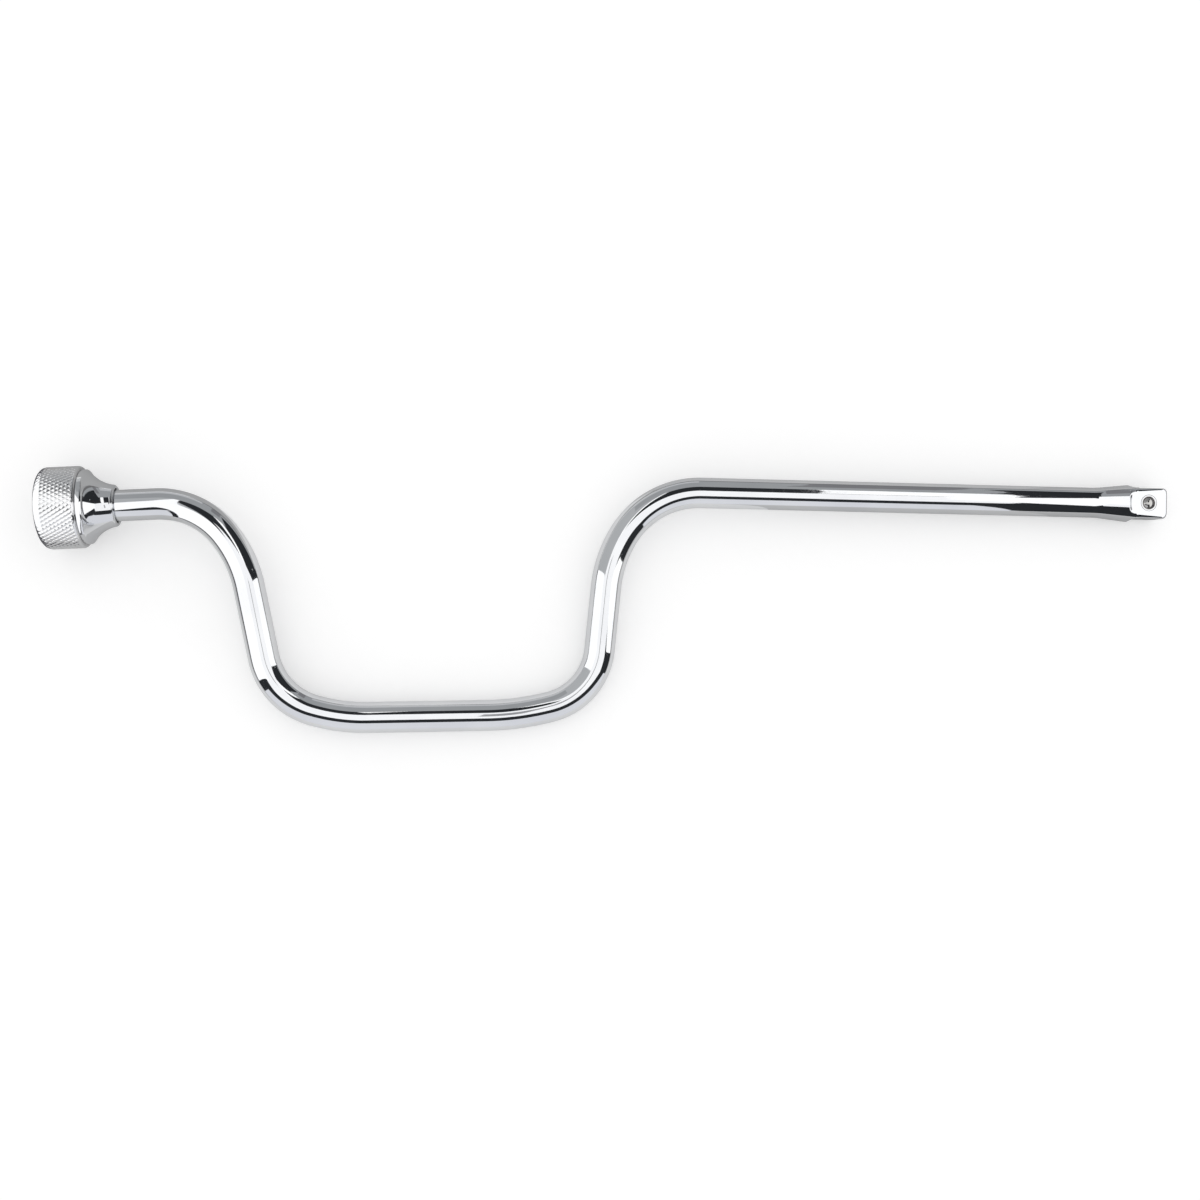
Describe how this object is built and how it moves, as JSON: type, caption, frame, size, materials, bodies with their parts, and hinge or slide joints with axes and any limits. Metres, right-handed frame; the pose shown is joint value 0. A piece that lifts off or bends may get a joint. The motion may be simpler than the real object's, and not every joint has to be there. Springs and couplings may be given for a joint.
{
  "type": "speeder handle",
  "caption": "Chromed steel bar bent into a crank, with a square socket drive and detent ball at one end and a revolving knurled palm knob at the other, for spinning nuts fast.",
  "frame": {"origin": "centre of the flat end face at the tip of the square drive", "axes": "+X out of the drive along the shank's axis, the crank's throw towards -Y, +Z square to the crank's plane, out of the flat that holds the detent ball"},
  "size_m": [0.4582, 0.1077, 0.0326],
  "materials": {
    "chrome_bar": "polished chrome plate",
    "chrome_collar": "turned and chrome plated",
    "chrome_knurl": "diamond knurl, chrome plated",
    "bronze": "oiled sintered bronze",
    "ground_steel": "hardened and ground",
    "spring_steel": "phosphated spring steel",
    "ball_steel": "lapped bearing steel"
  },
  "bodies": {
    "crank": {"crank_bar": "chrome_bar", "thrust_washer": "ground_steel", "retaining_ring": "spring_steel", "thrust_ball": "ball_steel", "detent_spring": "spring_steel"},
    "knob": {"knob_collar": "chrome_collar", "knob_cap": "chrome_knurl", "collar_bushing": "bronze", "thrust_disc": "ground_steel"},
    "detent": {"detent_ball": "ball_steel"}
  },
  "joints": [
    {"name": "knob_spin", "type": "hinge", "parent": "crank", "child": "knob", "pos_m": [-0.42807, -0.01078, 0], "axis": [-0.9977, -0.068, 0], "continuous": true},
    {"name": "detent_press", "type": "slide", "parent": "crank", "child": "detent", "axis": [0, 0, -1], "range_m": [0, 0.0011], "stiffness_N_per_m": 1500, "springref_m": -0.0015, "deforming": ["detent_spring"]}
  ]
}
